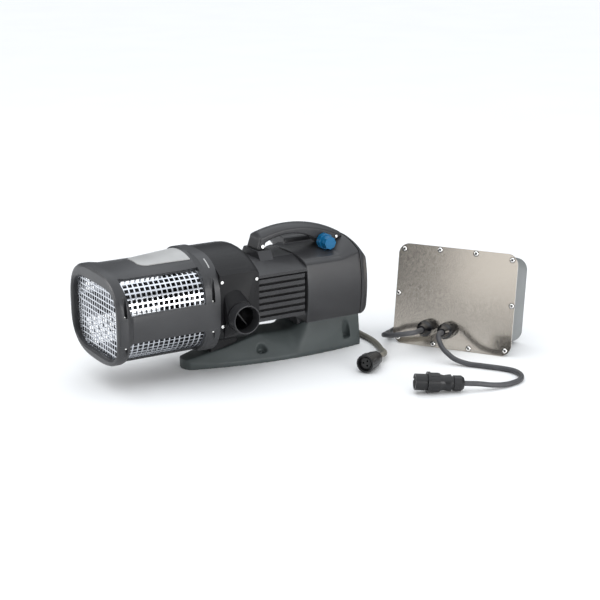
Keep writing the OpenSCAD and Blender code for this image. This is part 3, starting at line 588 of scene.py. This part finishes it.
def dressed(name, width=None, skin=None, shape=None):
    """A copy of a CAD node that stands for it, with edges rounded by width, or with a skin."""
    mesh = nodes[name].data.copy()
    mesh.name = name + "_dressed"
    mesh.materials.clear()
    mesh.materials.append(finish_of(name))
    piece = put(name + "_dressed", mesh)
    if shape:
        shape(mesh)
    join_faces(mesh)
    if skin:
        soften(piece, *skin)
    else:
        round_edges(piece, width, EDGE_ANGLE)
    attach(piece, BODY_OF[name])
    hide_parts(name)
    return piece


# Width of the rounded edges of each node, or voxel, rounds of smoothing and fold of its skin
ROUNDED = {
    "side_band_right": 1.2, "side_band_left": 1.2, "lower_shell": 1.2,
    "pump_housing": 2.0, "outlet_collar": 1.2, "inlet_cover": 1.0, "motor_housing": 1.5,
    "end_cap": 1.0, "port_cap": 0.8, "lead_gland": 0.8, "connector_body": 0.8,
    "connector_ring": 0.6, "connector_insert": 0.3, "plug_body": 0.6, "plug_ring": 0.6,
    "plug_nut": 0.8, "plug_insert": 0.3, "box_body": 2.0, "cover_plate": 0.6, "gland_bodies": 0.8,
    "gland_nuts": 0.8, "supply_plug": 2.0, "cage_screws": 0.3, "housing_screws": 0.4,
    "handle_screws": 0.6,
}
SHELL_EDGE = 1.2
SKINS = {"handle": (1.3, 14), "base": (1.8, 6, foot_fold), "rear_cover": (1.6, 6)}


# Trim, screws and other pieces that are made here

# The coil's strap: where it sits round the coil, its width, thickness, corners and room, the
# degrees between its stations, and its share of thickness on the floor
TIE_TURN = radians(200)
TIE_W, TIE_T, TIE_CORNER = 9, 1.2, 4.5
TIE_FLOOR, TIE_SIDE, TIE_TOP = 0.1, 0.4, 0.3
TIE_STEP, TIE_THIN = 15, 0.1
# The outlet's bore, whose axis lies along Y, and the rib across it
OUTLET_X, OUTLET_Z, OUTLET_R = -176, 121, 25
RIB_ALONG, RIB_OUT = Vector((0.60, 0, -0.80)), Vector((0.80, 0, 0.60))
RIB_Y, RIB_DEPTH, RIB_T, RIB_BITE = -92, 22, 2.4, 0.1
# The strainer's ring: where the pale strips painted on it as highlights are along X, its outline,
# and a strip's span in degrees
RING_X, RING_MID = -224.5, 138.5
RING_Y, RING_Z, RING_POWER = 101, 95.5, 2.9
HIGHLIGHT_SPAN = range(26, 47, 3)
HIGHLIGHT_W, HIGHLIGHT_T, HIGHLIGHT_SINK = 2.4, 0.5, 0.2
# The top band's crown, as (x, height) at both ends, and its radius
BAND_FRONT, BAND_REAR, BAND_R = (-398, 221.5), (-236, 234), 132
# The bare plate on the top band: its ends along X, half widths there, front corners, under and
# upper side above the band, and rows and cells of its grid
TRIM_FRONT, TRIM_REAR = -343, -246
TRIM_HALF = (31, 44)
TRIM_CORNER = 15
TRIM_LIFTS = (-0.6, 1.5)
TRIM_ROWS, TRIM_CELLS = 8, 20
TRIM_EDGE, TRIM_ANGLE = 0.5, 40
# The box's plate, and its screws as (radius, height) above it: a pan head from its socket
# outwards, a dark disc painted as shade on the socket's bottom, and a dark ring painted as the
# head's shadow
PLATE_T = 3
HEAD = [(2.0, 0.9), (2.0, 2.5), (2.4, 2.8), (3.3, 2.65),
        (4.2, 2.1), (4.8, 1.2), (5.0, 0.4), (5.0, -0.3)]
SOCKET_SHADE = [(1.0, 1.0), (1.9, 1.05)]
SHADOW_RING = [(4.4, 0.3), (5.8, 0.3), (6.0, -0.2)]
HEXAGON, SOCKET_RINGS = 6, 2
# The sleeve in the plug's mouth, as (radius, depth) behind its face
SLEEVE = [(8.4, 14.9), (8.4, 1.6), (9.0, 1.0), (11.8, 1.0), (12.3, 1.6), (12.3, 14.9)]
SLEEVE_SIDES = 48
# Edges that turn by more degrees than this stay sharp
RIBBON_SHARP, SCREW_SHARP, SLEEVE_SHARP = 35, 40, 50


def add_piece(name, bm, finish, sharp):
    """A new piece from bm, smooth but for edges that turn by more than sharp degrees."""
    bmesh.ops.recalc_face_normals(bm, faces=bm.faces)
    mesh = bpy.data.meshes.new(name)
    bm.to_mesh(mesh)
    bm.free()
    mesh.materials.append(finish)
    mesh.shade_smooth()
    mesh.set_sharp_from_angle(angle=radians(sharp))
    return put(name, mesh)


def bridge(bm, a, b):
    """Faces between two closed rows of points."""
    for i in range(len(a)):
        j = (i + 1) % len(a)
        bm.faces.new((a[i], a[j], b[j], b[i]))


def tube(bm, rings, endless):
    """Faces along a row of rings: back to the first ring, or with a face at either end."""
    for a, b in zip(rings, rings[1:] + rings[:1] if endless else rings[1:]):
        bridge(bm, a, b)
    if not endless:
        bm.faces.new(rings[0])
        bm.faces.new(rings[-1])


def ribbon(name, stations, across, width, thick, slot, endless=False):
    """A flat band along (place, outward direction) stations, width wide in the direction across."""
    bm = bmesh.new()
    rings = []
    for place, outward in stations:
        rings.append([bm.verts.new(mm(place + side * width / 2 * across + out * thick * outward))
                      for side, out in ((-1, 0), (1, 0), (1, 1), (-1, 1))])
    tube(bm, rings, endless)
    piece = add_piece(name, bm, FINISHES[slot], RIBBON_SHARP)
    bevel = piece.modifiers.new("edges", "BEVEL")
    bevel.width = mm(thick / 4)
    bevel.segments = 2
    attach(piece, "pump")
    return piece


def sign(value):
    """1, -1, or 0 near 0."""
    return (value > 0.01) - (value < -0.01)


def coil_tie():
    """A strap round the coil's two layers, near its far side; it thins out on the floor."""
    angle = COIL_START + TIE_TURN
    out = Vector((cos(angle), sin(angle), 0))
    half = COIL_PITCH * (COIL_TURNS - 1) / 2 + BOX_LEAD_D / 2 + TIE_SIDE
    top = BOX_LOW + COIL_PITCH + BOX_LEAD_D / 2 + TIE_TOP
    middle, rise = (TIE_FLOOR + top) / 2, (top - TIE_FLOOR) / 2
    stations = []
    for a in range(0, 360, TIE_STEP):
        way = Vector((cos(radians(a)), sin(radians(a))))
        x = way.x * TIE_CORNER + (half - TIE_CORNER) * sign(way.x)
        z = middle + way.y * TIE_CORNER + (rise - TIE_CORNER) * sign(way.y)
        thin = TIE_THIN if way.y < -0.5 else 1.0
        stations.append((COIL_MID + (COIL_R + x) * out + z * Z, thin * (way.x * out + way.y * Z)))
    return ribbon("coil_tie", stations, out.cross(Z), TIE_W, TIE_T, "seal_rubber", endless=True)


def outlet_rib():
    """The rib across the outlet's bore, a little way in."""
    middle = Vector((OUTLET_X, RIB_Y, OUTLET_Z))
    reach = OUTLET_R + RIB_BITE
    stations = [(middle + k * RIB_ALONG, RIB_OUT) for k in (-reach, reach)]
    ribbon("outlet_rib", stations, Y, RIB_DEPTH, RIB_T, "impeller_plastic")


def painted_ring_highlight(name, side):
    """A pale strip painted on the strainer's ring as a highlight, following the ring's own outline.
    """
    stations = []
    for a in HIGHLIGHT_SPAN:
        y = RING_Y * sin(radians(a)) ** (2 / RING_POWER)
        rise = RING_Z * cos(radians(a)) ** (2 / RING_POWER)
        outward = Vector((0, side * (y / RING_Y) ** (RING_POWER - 1) / RING_Y,
                          (rise / RING_Z) ** (RING_POWER - 1) / RING_Z)).normalized()
        place = Vector((RING_X, side * y, RING_MID + rise))
        stations.append((place - HIGHLIGHT_SINK * outward, outward))
    # The strip in the pale trim finish is a painted highlight, not a part of the ring
    ribbon(name, stations, X, HIGHLIGHT_W, HIGHLIGHT_T, "trim_plate")


def band_height(x, y):
    """Height of the strainer's top band, an arc that rises towards the ring."""
    (front, low), (rear, high) = BAND_FRONT, BAND_REAR
    crown = low + (high - low) * (x - front) / (rear - front)
    return crown - BAND_R + (BAND_R ** 2 - y ** 2) ** 0.5


def trim_half(x):
    """Half the width of the bare plate at x: it spreads, and its front corners are round."""
    narrow, wide = TRIM_HALF
    half = narrow + (wide - narrow) * (x - TRIM_FRONT) / (TRIM_REAR - TRIM_FRONT)
    short = TRIM_FRONT + TRIM_CORNER - x
    if short > 0:
        half -= TRIM_CORNER - (TRIM_CORNER ** 2 - short ** 2) ** 0.5
    return half


def rim_of(grid):
    """The outer points of a grid, in order round it."""
    return grid[0] + [r[-1] for r in grid[1:-1]] + grid[-1][::-1] + [r[0] for r in grid[-2:0:-1]]


def top_plate():
    """The bare plate on the strainer's top band: two skins that follow the band, and a rim."""
    bend = TRIM_FRONT + TRIM_CORNER
    rows = [TRIM_FRONT + TRIM_CORNER * (1 - cos(radians(a))) for a in range(0, 91, 9)]
    rows += [bend + (TRIM_REAR - bend) * i / TRIM_ROWS for i in range(1, TRIM_ROWS + 1)]
    bm = bmesh.new()
    rims = []
    for lift in TRIM_LIFTS:
        grid = []
        for x in rows:
            across = [trim_half(x) * (2 * i / TRIM_CELLS - 1) for i in range(TRIM_CELLS + 1)]
            grid.append([bm.verts.new(mm(x, y, band_height(x, y) + lift)) for y in across])
        for a, b in zip(grid, grid[1:]):
            for i in range(TRIM_CELLS):
                bm.faces.new((a[i], a[i + 1], b[i + 1], b[i]))
        rims.append(rim_of(grid))
    bridge(bm, *rims)
    piece = add_piece("top_plate_dressed", bm, finish_of("top_plate"), TRIM_ANGLE)
    round_edges(piece, TRIM_EDGE, TRIM_ANGLE)
    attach(piece, BODY_OF["top_plate"])
    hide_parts("top_plate")


def islands(mesh):
    """The points of each separate solid in a mesh, in the mesh's own order."""
    bm = bmesh_of(mesh)
    seen, found = set(), []
    for start in bm.verts:
        if start in seen:
            continue
        seen.add(start)
        stack, solid = [start], []
        while stack:
            vert = stack.pop()
            solid.append(vert.co.copy())
            for edge in vert.link_edges:
                near = edge.other_vert(vert)
                if near not in seen:
                    seen.add(near)
                    stack.append(near)
        found.append(solid)
    bm.free()
    return found


def lathe(bm, foot, axis, profile, sides=24, flats=0, endless=False):
    """Turns a (radius, height) profile round axis; with flats, its first rings are a socket.
    An endless profile closes on itself, and the others get a face at either end."""
    u = axis.orthogonal().normalized()
    v = axis.cross(u)
    rings = []
    for k, (radius, height) in enumerate(profile):
        ring = []
        for i in range(sides):
            a = 2 * pi * i / sides
            reach = radius
            if flats and k < SOCKET_RINGS:
                step = 2 * pi / flats
                reach = radius / cos((a + step / 2) % step - step / 2)
            ring.append(bm.verts.new(foot + mm(reach * (cos(a) * u + sin(a) * v) + height * axis)))
        rings.append(ring)
    tube(bm, rings, endless)


def cover_screws():
    """Pan heads with a hexagon socket, one on each CAD screw of the box's plate; a dark disc
    painted as shade in each socket and a dark ring painted as each head's shadow are a piece of
    their own."""
    heads, painted_shade = bmesh.new(), bmesh.new()
    for solid in islands(nodes["cover_screws"].data):
        centre = sum(solid, Vector()) / len(solid)
        foot = centre + (mm(PLATE_T) - (centre - mm(BOX_PLACE)).dot(GLAND_OUT)) * GLAND_OUT
        lathe(heads, foot, GLAND_OUT, HEAD, flats=HEXAGON)
        # Painted shade: a dark disc in each socket, and a dark ring as the shadow round each head
        lathe(painted_shade, foot, GLAND_OUT, SOCKET_SHADE, flats=HEXAGON)
        lathe(painted_shade, foot, GLAND_OUT, SHADOW_RING)
    for name, bm, finish in (("cover_screws_dressed", heads, "screw_steel"),
                             ("cover_screw_painted_shade", painted_shade, "seal_rubber")):
        piece = add_piece(name, bm, FINISHES[finish], SCREW_SHARP)
        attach(piece, "pump")
        if bm is heads:
            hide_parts("cover_screws")


def plug_sleeve():
    """The insulating sleeve round the plug's pins, inside its slotted mouth."""
    bm = bmesh.new()
    lathe(bm, mm(PLUG_FACE), PLUG_DIR, SLEEVE, sides=SLEEVE_SIDES, endless=True)
    piece = add_piece("plug_sleeve", bm, finish_of("plug_insert"), SLEEVE_SHARP)
    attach(piece, BODY_OF["plug_insert"])
    return piece


# Build

add_camera()
add_studio()
for name in nodes:
    finish_node(name)
copies = {name: dressed(name, width) for name, width in ROUNDED.items()}
for name, skin in SKINS.items():
    dressed(name, skin=skin)
dressed("upper_shell", SHELL_EDGE, shape=open_windows)
top_plate()
cover_screws()
outlet_rib()
copies["coil_tie"] = coil_tie()
copies["plug_sleeve"] = plug_sleeve()
add_lead("pump_lead_flex", PUMP_LEAD, LEAD_D, "pump_cable", ["pump_lead"])
add_lead("output_lead_flex", OUTPUT_LEAD, BOX_LEAD_D, "box_cable", ["output_lead"])
add_lead("supply_lead_flex", SUPPLY_LEAD, BOX_LEAD_D, "box_cable", ["supply_lead", "supply_coil"])
# Pale strips painted as highlights on the strainer's ring
painted_ring_highlight("painted_ring_highlight_right", -1)
painted_ring_highlight("painted_ring_highlight_left", 1)
